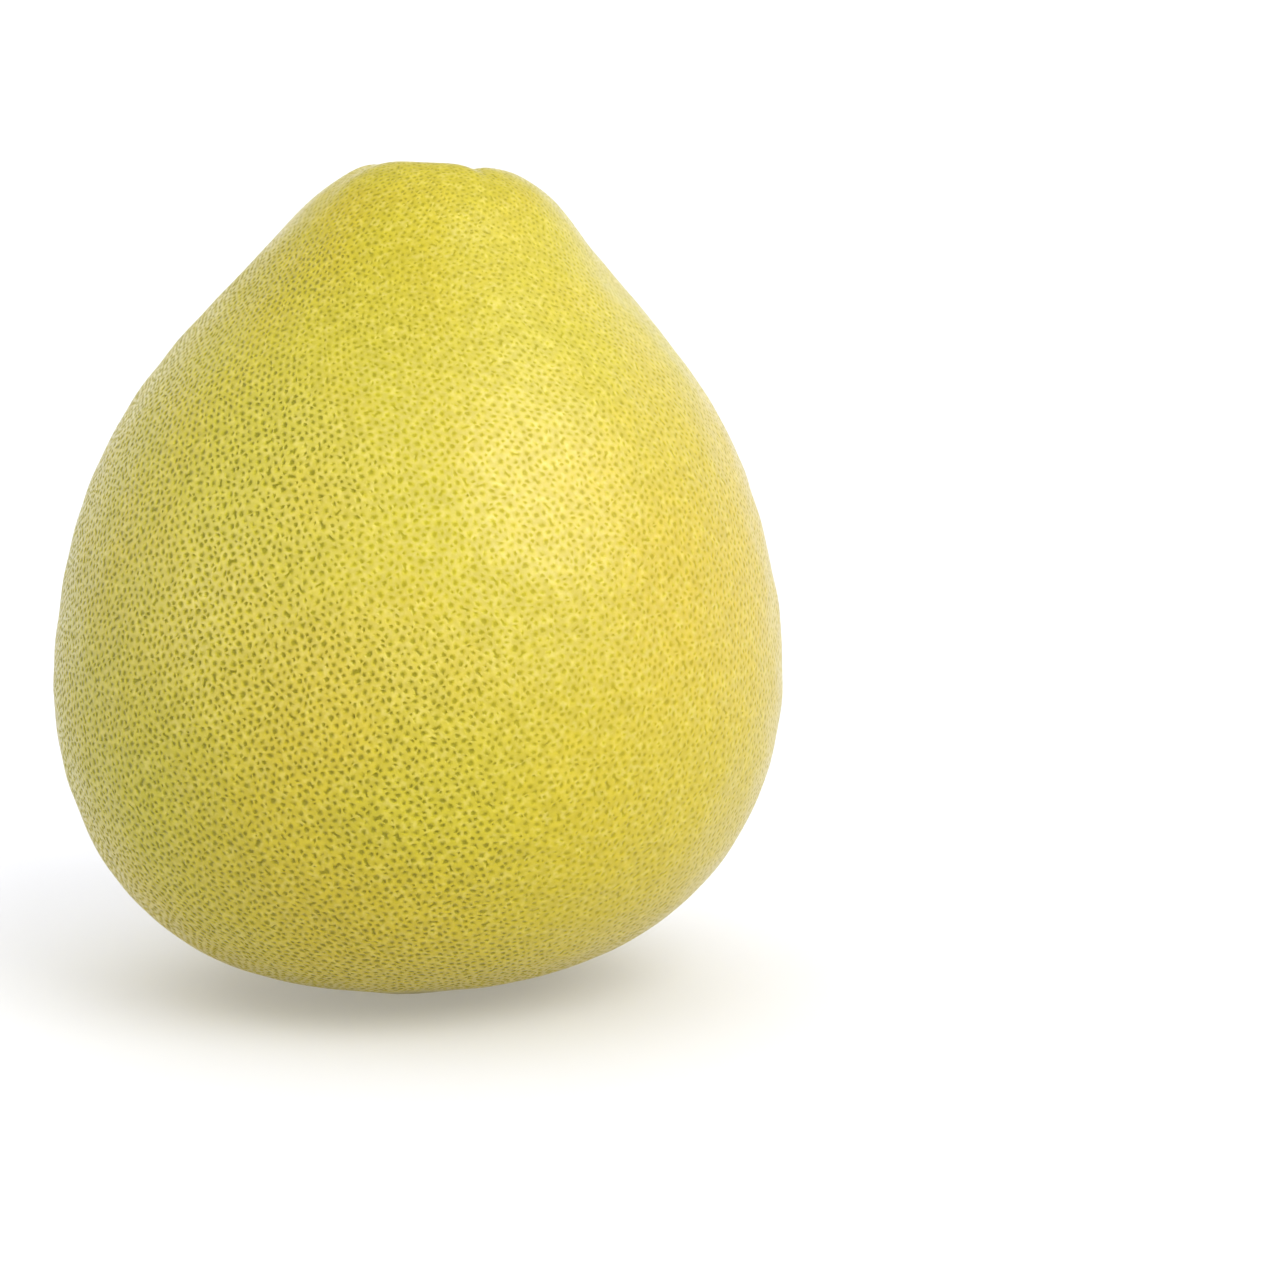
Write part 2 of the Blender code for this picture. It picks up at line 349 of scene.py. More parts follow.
@dataclass
class PitLayout:
    """Where the oil glands' pits lie, and the angle-keeping maps of the fruit.

    Each pit has an equal share of the peel's area, measured in pitches, and is turned by the golden
    angle from the one before. The map's latitude is the integral of length over radius, so that
    neighbours on the unit ball or on its plane are neighbours on the fruit.
    """

    form: FruitForm
    crown_pitches: tuple[Pair, ...] = ((6, 1.14), (20, 1.31), (40, 1.5), (64, 1.77))
    base_pitches: tuple[Pair, ...] = ((6, 1.65), (45, 1.82))
    mid_height: float = 60.0
    scatter: float = 0.3
    seed: int = 7
    steps: int = 6001
    least_radius: float = 0.02

    def __post_init__(self) -> None:
        """Adds up area and stretch along the section."""
        self.shares = np.linspace(0, 1, self.steps)
        points = self.form.section_at(self.shares)
        radius = np.maximum((points[1:, 0] + points[:-1, 0]) / 2, self.least_radius)
        steps = np.hypot(*np.diff(points, axis=0).T)
        pitch = self.pitch_at((self.shares[1:] + self.shares[:-1]) / 2)
        pits = 2 * math.pi * radius * steps / (math.sqrt(0.75) * pitch**2)
        self.length = float(steps.sum())
        self.counts = np.concatenate([[0], np.cumsum(pits)])
        self.stretch = np.concatenate([[0], np.cumsum(steps / radius)])
        self.stretch -= np.interp(0.5, self.shares, self.stretch)

    def pitch_at(self, share: Array) -> Array:
        """The distance between pits, read from the radius on the crown's or the base's side."""
        radius, height = np.moveaxis(self.form.section_at(share), -1, 0)
        crown = np.interp(radius, *np.array(self.crown_pitches).T)
        base = np.interp(radius, *np.array(self.base_pitches).T)
        return np.where(height > self.mid_height, crown, base)

    def places(self) -> tuple[Array, Array]:
        """The shares and turns of all pits, from the middle of the base to that of the hollow."""
        rng = np.random.default_rng(self.seed)
        number = np.arange(1, int(self.counts[-1]))
        share = np.interp(number, self.counts, self.shares)
        strays = rng.uniform(-self.scatter, self.scatter, (2, len(number))) * self.pitch_at(share)
        share = np.clip(share + strays[0] / self.length, 0, 1)
        radius = np.maximum(self.form.section_at(share)[:, 0], self.least_radius)
        turn = number * GOLDEN_ANGLE + strays[1] / radius
        return np.concatenate([[0], share, [1]]), np.concatenate([[0], turn, [0]])

    def on_plane(self, share: Array, turn: Array) -> Array:
        """The map to a plane, e to the power of the stretch away from the middle of the base."""
        reach = np.exp(np.interp(share, self.shares, self.stretch))
        return np.stack([reach * np.cos(turn), reach * np.sin(turn)], -1)

    def on_ball(self, share: Array, turn: Array) -> Array:
        """The map to the unit ball: (2x, 2y, d - 1) / (d + 1) on the plane, with d = x^2 + y^2."""
        flat = self.on_plane(share, turn)
        square = (flat**2).sum(-1, keepdims=True)
        return np.concatenate([2 * flat, square - 1], -1) / (square + 1)

    def from_ball(self, ball: Array) -> tuple[Array, Array]:
        """Shares and turns for points of the unit ball, the reverse of on_ball."""
        tiny = 1e-9
        wide = np.maximum(np.hypot(ball[:, 0], ball[:, 1]), tiny)
        low = wide / np.maximum(1 - ball[:, 2], tiny)
        reach = np.where(ball[:, 2] > 0, (1 + ball[:, 2]) / wide, low)
        share = np.interp(np.log(reach), self.stretch, self.shares)
        return share, np.arctan2(ball[:, 1], ball[:, 0])


@dataclass(frozen=True)
class Chart:
    """A patch of the bake map: its middle and its size, in shares of the map."""

    centre: Pair
    size: Pair


@dataclass(frozen=True)
class Noise:
    """A cloudy pattern of about 0 to 1: its cells per metre, its detail, and the span used of it.

    Its span is taken smoothly to its result where it is spread.
    """

    scale: float
    detail: float
    span: Pair = (0.0, 1.0)
    result: Pair = (0.0, 1.0)
    distortion: float = 0.0


class Graph:
    """A material's node tree, with one short call for each node."""

    def __init__(self, name: str) -> None:
        """An empty material with a Principled shader at its output."""
        self.material = bpy.data.materials.new(name)
        self.material.use_nodes = True
        self.tree = self.material.node_tree
        self.shader = self.tree.nodes["Principled BSDF"]

    def set(self, node: bpy.types.Node, values: dict) -> bpy.types.Node:
        """Sets or links a node's inputs by name or number."""
        for key, value in values.items():
            if isinstance(value, bpy.types.NodeSocket):
                self.tree.links.new(value, node.inputs[key])
            else:
                node.inputs[key].default_value = value
        return node

    def add(self, kind: str, values: dict, **settings: object) -> bpy.types.Node:
        """A new node of this kind, with its settings and its inputs."""
        node = self.tree.nodes.new(kind)
        for key, value in settings.items():
            setattr(node, key, value)
        return self.set(node, values)

    def object_place(self) -> Socket:
        """The place on the object, in metres."""
        return self.add("ShaderNodeTexCoord", {}).outputs["Object"]

    def attribute(self, name: str) -> Socket:
        """A number that the mesh keeps at each vertex."""
        return self.add("ShaderNodeAttribute", {}, attribute_name=name).outputs["Fac"]

    def noise(self, kind: Noise, place: Socket) -> Socket:
        """The noise's own value at the place."""
        values = {"Vector": place, "Scale": kind.scale, "Detail": kind.detail}
        values["Distortion"] = kind.distortion
        return self.add("ShaderNodeTexNoise", values).outputs["Fac"]

    def spread(self, kind: Noise, place: Socket) -> Socket:
        """The noise at the place, taken from its span to its result."""
        return self.remap(self.noise(kind, place), kind.span, kind.result)

    def remap(self, value: Socket, start: Pair, end: Pair = (0.0, 1.0)) -> Socket:
        """The value taken smoothly from the span start to the span end."""
        values = {"Value": value, 1: start[0], 2: start[1], 3: end[0], 4: end[1]}
        node = self.add("ShaderNodeMapRange", values, interpolation_type="SMOOTHSTEP")
        return node.outputs["Result"]

    def math(self, operation: str, *values: object) -> Socket:
        """One step of arithmetic."""
        return self.add("ShaderNodeMath", dict(enumerate(values)), operation=operation).outputs[0]

    def mix(self, share: object, low: object, high: object, blend: str = "MIX") -> Socket:
        """Two colours mixed by a share."""
        values = {0: share, 6: low, 7: high}
        return self.add("ShaderNodeMix", values, data_type="RGBA", blend_type=blend).outputs[2]

    def tint(self, share: object, colour: Socket, factor: object) -> Socket:
        """A colour multiplied, by a share, with a factor for each of its channels."""
        return self.mix(share, colour, factor, "MULTIPLY")

    def dot(self, place: Socket, direction: Triple) -> Socket:
        """How far the place lies along a direction, in metres."""
        values = {0: place, 1: direction}
        return self.add("ShaderNodeVectorMath", values, operation="DOT_PRODUCT").outputs["Value"]

    def near(self, place: Socket, centre: Array, reach: float, core: float) -> Socket:
        """Nearness to a centre in millimetres: 0 from its reach on, 1 within a share of that."""
        values = {0: place, 1: tuple(centre * MM)}
        away = self.add("ShaderNodeVectorMath", values, operation="DISTANCE").outputs["Value"]
        return self.remap(away, (reach * MM, core * reach * MM))

    def bump(self, height: Socket, size: float, below: Socket | None = None) -> Socket:
        """A normal bent by a height of 0 to 1, size being its full relief in millimetres."""
        values = {"Height": height, "Distance": size * MM, "Strength": 1.0}
        if below is not None:
            values["Normal"] = below
        return self.add("ShaderNodeBump", values).outputs["Normal"]


@dataclass(frozen=True)
class SheenPatch:
    """A soft round patch of painted sheen, paler peel: its centre and its reach, in millimetres."""

    centre: Triple
    reach: float


@dataclass(frozen=True)
class PeelFinish:
    """Waxy peel under a thin clear coat: pale ridges round olive glands, with brown scars.

    It goes from green to ripe along one direction, with ochre patches, pale flecks, a fine mottle
    and soft patches of painted sheen. Its crown and its base are tinted by height. The glands' tint
    holds their olive colour and painted shade in the pits; it is faint where the mesh's smoothness
    is high, on the side that faces the key light.
    """

    ripe: Colour = (0.505, 0.385, 0.046, 1)
    green: Colour = (0.45, 0.392, 0.04, 1)
    ochre: Colour = (0.51, 0.385, 0.03, 1)
    # Pale colour of the flecks and of the painted sheen patches.
    pale: Colour = (0.62, 0.53, 0.14, 1)
    # Tints of the pits: the glands' own olive colour together with painted shade in the pits.
    valley_colour_and_shade: Colour = (0.9, 0.9, 0.12, 1)
    gland_colour_and_shade: Colour = (0.54, 0.57, 0.03, 1)
    crown_tint: Colour = (0.99, 0.955, 0.42, 1)
    base_tint: Colour = (0.97, 1.0, 0.4, 1)
    scar: Colour = (0.17, 0.11, 0.04, 1)
    crown_span: Pair = (130.0, 165.0)
    base_span: Pair = (90.0, 45.0)
    green_side: Triple = (-0.5, 0.0, 0.6)
    green_span: Pair = (0.0, 0.09)
    green_clouds: Noise = Noise(14, 1, (0.25, 0.75), (-0.025, 0.025))
    ochre_patches: Noise = Noise(55, 2, (0.4, 0.8), (0.0, 0.35))
    # Patches of painted sheen: paler peel where highlights fall.
    sheen_patches: tuple[SheenPatch, ...] = (
        SheenPatch((6.0, -69.0, 112.0), 50.0),
        SheenPatch((-42.0, -60.0, 102.0), 36.0),
        SheenPatch((40.0, -18.0, 155.0), 34.0),
        SheenPatch((-20.0, 70.0, 105.0), 45.0),
    )
    sheen_core: float = 0.1
    sheen_share: float = 0.2
    flecks: Noise = Noise(640, 2, (0.45, 0.72), (0.0, 0.42))
    mottle: Noise = Noise(430, 2, (0.3, 0.75), (0.92, 1.06))
    pit_wobble: Noise = Noise(900, 2, (0.25, 0.75), (-0.13, 0.13))
    valley_edge: Pair = (0.0, 0.7)
    gland_edge: Pair = (0.38, 0.8)
    # Strength of the gland tint with its painted pit shade: full on the rough side, away from the
    # key light, half on the smooth side.
    gland_shade_strength: Pair = (1.0, 0.5)
    pit_edge: Pair = (0.2, 0.9)
    pit_relief: float = 0.24
    pit_strength: Pair = (1.3, 0.3)
    swells: Noise = Noise(150, 2)
    swell_relief: float = 0.14
    grain: Noise = Noise(1600, 3, (0.2, 0.8), (-0.05, 0.05))
    grain_relief: float = 0.03
    stem_scar: float = 9.0
    base_scar: float = 3.4
    scar_core: float = 0.5
    scar_share: float = 0.7
    roughness: Pair = (0.42, 0.7)
    specular: float = 0.3
    ior: float = 1.45
    coat: float = 0.9
    coat_roughness: float = 0.3
    coat_ior: float = 1.2

    def ground(self, graph: Graph, place: Socket) -> Socket:
        """The peel's colour before its glands: ripeness, painted sheen patches, flecks and mottle.

        Args:
            graph: the material's nodes.
            place: the place on the object.

        Returns:
            The colour.
        """
        clouds = graph.spread(self.green_clouds, place)
        along = graph.math("ADD", graph.dot(place, self.green_side), clouds)
        skin = graph.mix(graph.remap(along, self.green_span), self.ripe, self.green)
        skin = graph.mix(graph.spread(self.ochre_patches, place), skin, self.ochre)
        height = graph.dot(place, (0.0, 0.0, 1.0 / MM))
        skin = graph.tint(graph.remap(height, self.crown_span), skin, self.crown_tint)
        skin = graph.tint(graph.remap(height, self.base_span), skin, self.base_tint)
        # Painted sheen: the peel mixed towards pale round each patch's centre.
        for sheen_patch in self.sheen_patches:
            near = graph.near(place, np.array(sheen_patch.centre), sheen_patch.reach, self.sheen_core)
            skin = graph.mix(graph.math("MULTIPLY", near, self.sheen_share), skin, self.pale)
        skin = graph.mix(graph.spread(self.flecks, place), skin, self.pale)
        mottle = dict.fromkeys(range(3), graph.spread(self.mottle, place))
        return graph.tint(1.0, skin, graph.add("ShaderNodeCombineColor", mottle).outputs[0])

    def relief(self, graph: Graph, place: Socket, pit: Socket, smooth: Socket) -> Socket:
        """The normal bent by soft swells, by a fine grain and by the pits.

        Args:
            graph: the material's nodes.
            place: the place on the object.
            pit: the pits' depth of 0 to 1.
            smooth: the peel's smoothness, which weakens the pits.

        Returns:
            The normal.
        """
        swell = graph.bump(graph.noise(self.swells, place), self.swell_relief)
        fine = graph.bump(graph.noise(self.grain, place), self.grain_relief, swell)
        rise = graph.remap(pit, self.pit_edge, (1.0, 0.0))
        strength = graph.remap(smooth, (0.0, 1.0), self.pit_strength)
        return graph.bump(graph.math("MULTIPLY", rise, strength), self.pit_relief, fine)

    def build(self, stem: Array, base: Array) -> bpy.types.Material:
        """The material, with its brown rings round the stem and in the middle of the base.

        Args:
            stem: the middle of the stem button's seat.
            base: the middle of the resting spot.

        Returns:
            The material.
        """
        graph = Graph("pitted_peel")
        place = graph.object_place()
        smooth = graph.attribute(SMOOTH)
        pit = graph.math("ADD", graph.attribute(PIT), graph.spread(self.pit_wobble, place))
        gland = graph.remap(pit, self.gland_edge)
        # The painted pit shade is strongest on the rough side, which faces away from the key light.
        strength = graph.remap(smooth, (0.0, 1.0), self.gland_shade_strength)
        skin = self.ground(graph, place)
        # Valley and gland tints: olive gland colour with painted shade in the pits.
        skin = graph.tint(graph.remap(pit, self.valley_edge), skin, self.valley_colour_and_shade)
        skin = graph.tint(graph.math("MULTIPLY", gland, strength), skin, self.gland_colour_and_shade)
        for centre, reach in ((stem, self.stem_scar), (base, self.base_scar)):
            near = graph.near(place, centre, reach, self.scar_core)
            skin = graph.mix(graph.math("MULTIPLY", near, self.scar_share), skin, self.scar)
        rough = graph.remap(gland, (0.0, 1.0), self.roughness)
        normal = self.relief(graph, place, pit, smooth)
        graph.set(
            graph.shader,
            {
                "Base Color": skin,
                "Roughness": graph.math("ADD", rough, graph.spread(self.grain, place)),
                "Normal": normal,
                "Coat Normal": normal,
                "Coat Weight": self.coat,
                "Coat Roughness": self.coat_roughness,
                "Coat IOR": self.coat_ior,
                "Specular IOR Level": self.specular,
                "IOR": self.ior,
            },
        )
        return graph.material


@dataclass
class Skin:
    """The pitted peel: a fan of triangles round each pit, its middle pressed in."""

    form: FruitForm
    layout: PitLayout
    finish: PeelFinish = field(default_factory=PeelFinish)
    pit_depth: float = 0.17
    pit_sizes: Pair = (0.76, 1.0)
    joined_below: float = 0.7
    joined_share: float = 0.15
    resting_pits: float = 0.35
    resting_height: float = 2.0
    smooth_side: Triple = (0.9, 0.0, 0.35)
    smooth_span: Pair = (0.0, 75.0)
    smooth_depth: float = 0.6
    smooth_uneven: float = 8.0
    smooth_lengths: Pair = (25.0, 80.0)
    smooth_waves: int = 16
    uneven: float = 0.1
    uneven_lengths: Pair = (9.0, 36.0)
    uneven_waves: int = 28
    uneven_from: float = 3.0
    seed: int = 21
    puckers: int = 17
    pucker_depth: float = 0.22
    pucker_rise: float = 8.0
    pucker_fade: Pair = (8.5, 12.5)
    scar_radius: float = 2.4
    scar_core: float = 0.72
    scar_depth: float = 0.6
    band: Pair = (46.0, 36.0)
    band_margin: float = 1.02
    chart_margin: float = 4.0
    belly_charts: tuple[Chart, Chart] = (
        Chart((0.25, 0.64), (0.48, 0.7)),
        Chart((0.75, 0.64), (0.48, 0.7)),
    )
    end_charts: tuple[Chart, Chart] = (
        Chart((0.14, 0.14), (0.26, 0.26)),
        Chart((0.42, 0.14), (0.26, 0.26)),
    )

    def linked_pits(self, share: Array, turn: Array) -> Array:
        """Triangles between neighbouring pits: Delaunay's on the plane, closed at the last pit."""
        last = len(share) - 1
        flat = self.layout.on_plane(share[:last], turn[:last])
        inner = np.array(geometry.delaunay_2d_cdt(flat.tolist(), [], [], 0, 0.0)[2])
        sides = np.concatenate([inner[:, [0, 1]], inner[:, [1, 2]], inner[:, [2, 0]]])
        keys = sides.min(1) * len(share) + sides.max(1)
        _, first, counts = np.unique(keys, return_index=True, return_counts=True)
        border = sides[first[counts == 1]]
        cap = np.column_stack([border[:, 1], border[:, 0], np.full(len(border), last)])
        return np.concatenate([inner, cap])

    def fans(self, triangles: Array, pits: Array, pitch: Array, rng: np.random.Generator) -> Array:
        """The faces of all fans, outward.

        Each link between two pits gives two faces. Mostly they meet in a ridge between the middles
        of the triangles on the link's two sides. Some close pits keep their link, as a joined pit.

        Args:
            triangles: the triangles between pits.
            pits: the pits' places.
            pitch: the pitch at each pit.
            rng: draws which close pits are joined.

        Returns:
            Faces of vertex numbers, the triangles' middles numbered after the pits.
        """
        sides = np.concatenate([triangles[:, [0, 1]], triangles[:, [1, 2]], triangles[:, [2, 0]]])
        middles = len(pits) + np.tile(np.arange(len(triangles)), 3)
        keys = sides.min(1) * len(pits) + sides.max(1)
        one, other = np.argsort(keys, kind="stable").reshape(-1, 2).T
        start, end = sides[one].T
        left, right = middles[one], middles[other]
        gap = np.linalg.norm(pits[start] - pits[end], axis=1) / pitch[start]
        nearest = np.full(len(pits), np.inf)
        np.minimum.at(nearest, start, gap)
        np.minimum.at(nearest, end, gap)
        mutual = (gap <= nearest[start]) & (gap <= nearest[end]) & (gap < self.joined_below)
        joined = mutual & (rng.random(len(gap)) < self.joined_share)
        return np.concatenate(
            [
                np.column_stack([start, left, np.where(joined, end, right)]),
                np.column_stack([end, right, np.where(joined, start, left)]),
            ]
        )

    def relief(self, share: Array, turn: Array, places: Array) -> Array:
        """How far the peel stands out before its pits.

        Soft plane waves, and in the hollow the cosine of the turn times the number of puckers.

        Args:
            share: each vertex's share of the section.
            turn: each vertex's turn.
            places: the vertices on the form.

        Returns:
            One height for each vertex, outward.
        """
        radius = self.form.section_at(share)[:, 0]
        high = places[:, 2]
        top = high > self.form.neck[0]
        off_seat = np.where(top, ramp(self.form.seat_radius, self.form.rim_radius, radius), 1)
        uneven = plane_waves(places, self.uneven, self.uneven_lengths, self.uneven_waves, self.seed)
        pucker = np.cos(self.puckers * turn + 2 * np.sin(3 * turn)) * top
        pucker *= ramp(self.form.seat_radius, self.pucker_rise, radius)
        pucker *= 1 - ramp(*self.pucker_fade, radius)
        uneven *= ramp(0, self.uneven_from, high)
        return (uneven - self.pucker_depth * pucker) * off_seat

    def smoothness(self, places: Array) -> Array:
        """0 on the rough side to 1 on the smooth side, towards the key light, where the pits are
        shallow and their painted shade faint.
        """
        along = places @ np.array(self.smooth_side)
        strays = (self.smooth_uneven, self.smooth_lengths, self.smooth_waves, self.seed + 1)
        return ramp(*self.smooth_span, along + plane_waves(places, *strays))

    def pit_fade(self, share: Array, places: Array) -> Array:
        """1 where the pits are full, less on the resting spot, and 0 under the button."""
        radius = self.form.section_at(share)[:, 0]
        top = places[:, 2] > self.form.neck[0]
        beside_seat = ramp(self.form.seat_radius, self.form.rim_radius, radius)
        above = ramp(0, self.resting_height, places[:, 2])
        return np.where(top, beside_seat, self.resting_pits + (1 - self.resting_pits) * above)

    def shape(self) -> tuple[Array, Array, Array, Array, Array, Array]:
        """The peel's mesh.

        Each vertex lies on the form, moved along its normal by the relief and, at a pit's middle,
        inwards by the pit's depth. The scar is a small dent in the middle of the base.

        Returns:
            Places, faces, and each vertex's depth share, smoothness, share and turn.
        """
        rng = np.random.default_rng(self.seed)
        share, turn = self.layout.places()
        triangles = self.linked_pits(share, turn)
        ball = self.layout.on_ball(share, turn)
        middles = ball[triangles].mean(1)
        middles /= np.linalg.norm(middles, axis=1, keepdims=True)
        middle_share, middle_turn = self.layout.from_ball(middles)
        pits = self.form.surface(share, turn)
        faces = self.fans(triangles, pits, self.layout.pitch_at(share), rng)
        sizes = rng.uniform(*self.pit_sizes, len(share))
        share = np.concatenate([share, middle_share])
        turn = np.concatenate([turn, middle_turn])
        places = self.form.surface(share, turn)
        normals = vertex_normals(places, faces)
        depth = np.concatenate([sizes, np.zeros(len(triangles))]) * self.pit_fade(share, places)
        smooth = self.smoothness(places)
        pitch = self.layout.pitch_at(share) / self.layout.base_pitches[-1][1]
        sink = self.pit_depth * pitch * depth * (1 - self.smooth_depth * smooth)
        places = places + normals * (self.relief(share, turn, places) - sink)[:, None]
        from_scar = np.linalg.norm(places - self.form.axis_at(0.0), axis=1)
        places[:, 2] = np.maximum(places[:, 2], 0)
        places[:, 2] += self.scar_depth * (1 - ramp(self.scar_core, self.scar_radius, from_scar))
        return places, faces, depth, smooth, share, turn

    def bake_map(self, faces: Array, share: Array, turn: Array) -> Array:
        """Where each face's corners lie on the bake map.

        The belly is two upright bands, front and back, with the length down the section across and
        the turn upwards. The base and the crown are discs, their radius the length from the pole.

        Args:
            faces: the peel's faces.
            share: each vertex's share of the section.
            turn: each vertex's turn.

        Returns:
            One pair for each corner of each face.
        """
        length = self.layout.length
        along = share[faces] * length
        middle = along.mean(1)
        turns = turn[faces]
        heading = np.arctan2(np.sin(turns).sum(1), np.cos(turns).sum(1))
        low, high = self.band[0], length - self.band[1]
        half_turn = math.pi / 2 * self.band_margin
        places = np.zeros((len(faces), 3, 2))
        for chart, facing in zip(self.belly_charts, (-math.pi / 2, math.pi / 2)):
            chosen = (middle >= low) & (middle <= high) & (np.sign(heading) == np.sign(facing))
            away = np.angle(np.exp(1j * (turns[chosen] - facing)))
            across = (along[chosen] - (low + high) / 2) / (high - low + self.chart_margin)
            spot = np.stack([across, away / (2 * half_turn)], -1)
            places[chosen] = chart.centre + spot * chart.size
        ends = ((middle < low, along, low), (middle > high, length - along, length - high))
        for chart, (chosen, reach, full) in zip(self.end_charts, ends):
            spot = reach[chosen] / (2 * full + self.chart_margin)
            spot = np.stack([spot * np.cos(turns[chosen]), spot * np.sin(turns[chosen])], -1)
            places[chosen] = chart.centre + spot * chart.size
        return places

    def build(self) -> bpy.types.Object:
        """The peel as a finished piece."""
        places, faces, depth, smooth, share, turn = self.shape()
        piece = make_object("peel", places, faces)
        mesh = piece.data
        for name, values in ((PIT, depth), (SMOOTH, smooth)):
            data = mesh.attributes.new(name, "FLOAT", "POINT").data
            data.foreach_set("value", values.astype(np.float32))
        spots = self.bake_map(faces, share, turn).astype(np.float32)
        mesh.uv_layers.new(name=BAKE_MAP).uv.foreach_set("vector", spots.ravel())
        stem = self.form.axis_at(self.form.seat_height)
        mesh.materials.append(self.finish.build(stem, self.form.axis_at(0.0)))
        carry(piece, Node.FRUIT)
        return piece


@dataclass(frozen=True)
class DryStemFinish:
    """Dry brown calyx and cut stem: fibres, grey weathering and painted shade in the hollows."""

    brown: Colour = (0.20, 0.125, 0.055, 1)
    grey: Colour = (0.34, 0.28, 0.19, 1)
    # Painted shade in the hollows between the fibres.
    hollow_shade: Colour = (0.07, 0.042, 0.02, 1)
    weather: Noise = Noise(900, 4, (0.4, 0.7))
    fibres: Noise = Noise(3200, 3, (0.2, 0.8), (0.75, 0.95), 0.6)
    hollow_span: Pair = (0.55, 0.3)
    hollow_share: Pair = (0.0, 0.7)
    fibre_relief: float = 0.12

    def build(self) -> bpy.types.Material:
        """The material. The fibres' noise gives its painted hollow shade, its relief and its
        roughness.
        """
        graph = Graph("dry_stem")
        place = graph.object_place()
        colour = graph.mix(graph.spread(self.weather, place), self.brown, self.grey)
        fibres = graph.noise(self.fibres, place)
        # Painted shade: dark colour where the fibres' relief is low.
        shade_in_hollows = graph.remap(fibres, self.hollow_span, self.hollow_share)
        values = {
            "Base Color": graph.mix(shade_in_hollows, colour, self.hollow_shade),
            "Roughness": graph.remap(fibres, self.fibres.span, self.fibres.result),
            "Normal": graph.bump(fibres, self.fibre_relief),
        }
        graph.set(graph.shader, values)
        return graph.material


@dataclass
class StemButton:
    """The dry calyx with its five sepals, and the short cut stem on it."""

    form: FruitForm
    finish: DryStemFinish = field(default_factory=DryStemFinish)
    outline: tuple[Pair, ...] = (
        (0.0, 0.25),
        (2.6, 0.2),
        (4.0, 0.05),
        (4.75, 0.15),
        (4.85, 0.4),
        (4.4, 0.75),
        (3.5, 1.1),
        (2.75, 1.35),
        (2.35, 1.75),
        (2.25, 2.3),
        (2.1, 2.65),
        (1.75, 2.75),
        (0.9, 2.45),
        (0.0, 2.3),
    )
    rings: int = 60
    sides: int = 180
    sepals: int = 5
    sepal_depth: float = 0.2
    sepal_inner: float = 2.6
    sepal_outer: float = 4.85
    sepal_skew: float = 0.35
    gap: float = 0.1
    upper_from: float = 3.0
    ribs: int = 23
    rib_skew: float = 1.5
    rib_height: float = 0.06
    rib_share: float = 0.03
    droop: float = 0.12
    grain: float = 0.05
    grain_lengths: Pair = (0.8, 2.5)
    grain_waves: int = 20
    seed: int = 5

    def grid(self) -> Array:
        """The button's points, ring by ring.

        The outline curve is turned about the stem's axis. A cosine of half the turn times the
        number of sepals draws it in between them, a cosine of the turn times the number of ribs
        raises its upper side, and plane waves roughen that.

        Returns:
            A row of points for each ring, in millimetres.
        """
        points = np.array(self.outline)
        knots = np.arange(len(points), dtype=float)
        curve = natural_spline(knots, points)
        at = np.linspace(0, knots[-1], self.rings)
        turn = np.linspace(0, 2 * math.pi, self.sides, endpoint=False)
        radius, height = (row[:, None] + 0 * turn for row in curve(at).T)
        radius = np.maximum(radius, 0)
        outward = ramp(self.sepal_inner, self.sepal_outer, radius)
        skewed = self.sepals * turn / 2 + self.sepal_skew * np.sin(turn)
        radius = radius * (1 - self.sepal_depth * (1 - np.abs(np.cos(skewed))) * outward)
        upper = (at > self.upper_from)[:, None]
        rib = np.cos(self.ribs * turn + self.rib_skew * np.sin(2 * turn)) * upper
        bend = np.cos(2 * turn + 1) * upper
        height = height + outward * (self.rib_height * rib + self.droop * bend)
        radius = radius * (1 + self.rib_share * rib * (1 - outward) * ramp(1, 2, radius))
        places = np.stack([radius * np.cos(turn), radius * np.sin(turn), height], -1)
        strays = (self.grain, self.grain_lengths, self.grain_waves, self.seed)
        grain = plane_waves(places.reshape(-1, 3), *strays).reshape(radius.shape) * upper
        return places + grain[..., None] + self.form.axis_at(self.form.seat_height + self.gap)

    def build(self) -> bpy.types.Object:
        """The stem button as a finished piece."""
        piece = make_object("dry_stem_button", *lathe(self.grid(), True))
        piece.data.materials.append(self.finish.build())
        carry(piece, Node.STEM_BUTTON)
        return piece


class Part(Enum):
    """What a light gives to a surface: its matt part or its gloss."""

    MATT = "matt"
    GLOSS = "gloss"


@dataclass(frozen=True)
class SunLight:
    """A soft light from far away: a disc in the sky, its width in degrees."""

    name: str
    towards: Triple
    strength: float
    width: float
    shadow: bool
    part: Part

    def build(self) -> None:
        """The light, shining from where it stands towards the origin."""
        lamp = bpy.data.lights.new(self.name, "SUN")
        lamp.energy = self.strength
        lamp.angle = math.radians(self.width)
        lamp.use_shadow = self.shadow
        light = bpy.data.objects.new(self.name, lamp)
        light.rotation_euler = Vector(self.towards).to_track_quat("Z", "Y").to_euler()
        light.visible_diffuse = self.part is Part.MATT
        light.visible_glossy = self.part is Part.GLOSS
        bpy.context.scene.collection.objects.link(light)


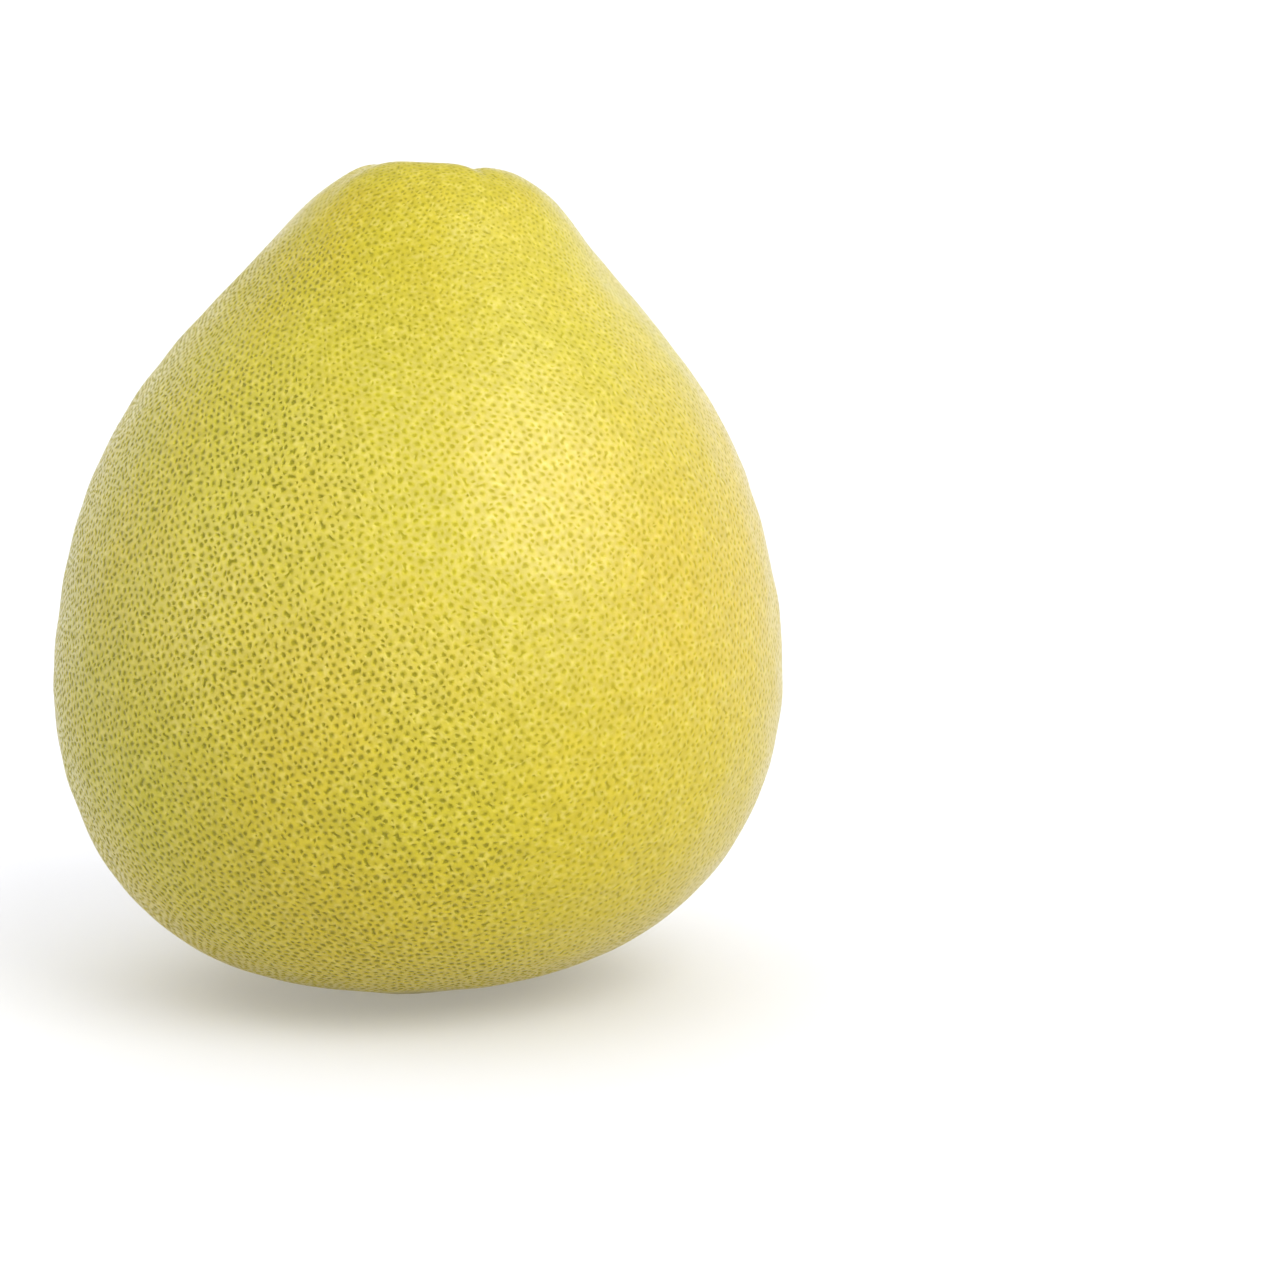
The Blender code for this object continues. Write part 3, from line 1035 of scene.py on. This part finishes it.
@dataclass
class Studio:
    """A round pale floor that curves up all round, soft light, and the photograph's camera."""

    frame_pixels: int = 1264
    lens: float = 110.0
    sensor: float = 36.0
    distance: float = 840.0
    elevation: float = math.radians(9.0)
    middle_pixel: Pair = (420.0, 576.5)
    middle_height: float = 90.0
    floor_radius: float = 9000.0
    floor_rise: float = 6000.0
    floor_sides: int = 128
    floor_bends: int = 24
    floor_colour: Colour = (0.73, 0.734, 0.76, 1)
    sky: float = 0.45
    lights: tuple[SunLight, ...] = (
        SunLight("key", (0.54, -0.55, 0.62), 1.7, 50, False, Part.MATT),
        SunLight("key_shade", (0.52, -0.57, 0.62), 0.8, 40, True, Part.MATT),
        SunLight("front", (0.3, -0.8, 0.45), 0.6, 50, False, Part.MATT),
        SunLight("top", (-0.15, 0.1, 1.0), 1.2, 90, False, Part.MATT),
        SunLight("top_shade", (0.1, -0.5, 0.85), 0.2, 60, True, Part.MATT),
        SunLight("back", (0.1, 0.9, 0.4), 0.5, 60, False, Part.MATT),
        SunLight("key_gloss", (0.66, -0.42, 0.60), 2.6, 60, False, Part.GLOSS),
        SunLight("left_gloss", (-0.887, -0.426, 0.18), 0.45, 22, False, Part.GLOSS),
        SunLight("top_gloss", (-0.1, -0.1, 1.0), 0.2, 80, True, Part.GLOSS),
        SunLight("right_rim", (0.80, 0.55, 0.15), 0.7, 60, False, Part.GLOSS),
        SunLight("left_rim", (-0.78, 0.6, 0.1), 0.5, 60, False, Part.GLOSS),
    )

    def floor(self) -> None:
        """A flat disc whose edge turns up in a quarter circle, with a plain pale finish."""
        bend = np.linspace(0, math.pi / 2, self.floor_bends + 1)
        radius = np.append(0, self.floor_radius + self.floor_rise * np.sin(bend))
        height = np.append(0, self.floor_rise * (1 - np.cos(bend)))
        turn = np.linspace(0, 2 * math.pi, self.floor_sides, endpoint=False)
        across, along = radius[:, None] * np.cos(turn), radius[:, None] * np.sin(turn)
        places, faces = lathe(np.stack([across, along, height[:, None] + 0 * turn], -1), False)
        floor = make_object("floor", places, faces[:, ::-1])
        graph = Graph("pale_floor")
        finish = {"Base Color": self.floor_colour, "Roughness": 0.9, "Specular IOR Level": 0.0}
        graph.set(graph.shader, finish)
        floor.data.materials.append(graph.material)

    def camera(self) -> None:
        """A camera that looks along +Y and down, with the fruit's middle at its pixel."""
        focal = self.lens / self.sensor * self.frame_pixels
        view = Vector((0, math.cos(self.elevation), -math.sin(self.elevation)))
        right = Vector((1, 0, 0))
        up = right.cross(view)
        aside = (self.frame_pixels / 2 - self.middle_pixel[0]) / focal * self.distance
        above = (self.middle_pixel[1] - self.frame_pixels / 2) / focal * self.distance
        target = Vector((0, 0, self.middle_height)) + right * aside + up * above
        lens = bpy.data.cameras.new("camera")
        lens.lens = self.lens
        lens.sensor_width = self.sensor
        camera = bpy.data.objects.new("camera", lens)
        camera.location = (target - view * self.distance) * MM
        camera.rotation_euler = view.to_track_quat("-Z", "Y").to_euler()
        bpy.context.scene.collection.objects.link(camera)
        bpy.context.scene.camera = camera

    def world(self) -> None:
        """An even white sky."""
        world = bpy.data.worlds.new("sky")
        world.use_nodes = True
        background = world.node_tree.nodes["Background"]
        background.inputs["Color"].default_value = (1, 1, 1, 1)
        background.inputs["Strength"].default_value = self.sky
        bpy.context.scene.world = world

    def build(self) -> None:
        """The floor, the sky, the lights and the camera."""
        self.floor()
        self.world()
        for light in self.lights:
            light.build()
        self.camera()
        bpy.context.scene.view_settings.view_transform = "Standard"
        LOG.info("studio: floor, sky, %d lights and camera", len(self.lights))


def main() -> None:
    """Builds the studio and the fruit's pieces."""
    logging.basicConfig(level=logging.INFO, format="%(name)s: %(message)s")
    Studio().build()
    form = FruitForm()
    Skin(form, PitLayout(form)).build()
    StemButton(form).build()


if __name__ == "__main__":
    main()
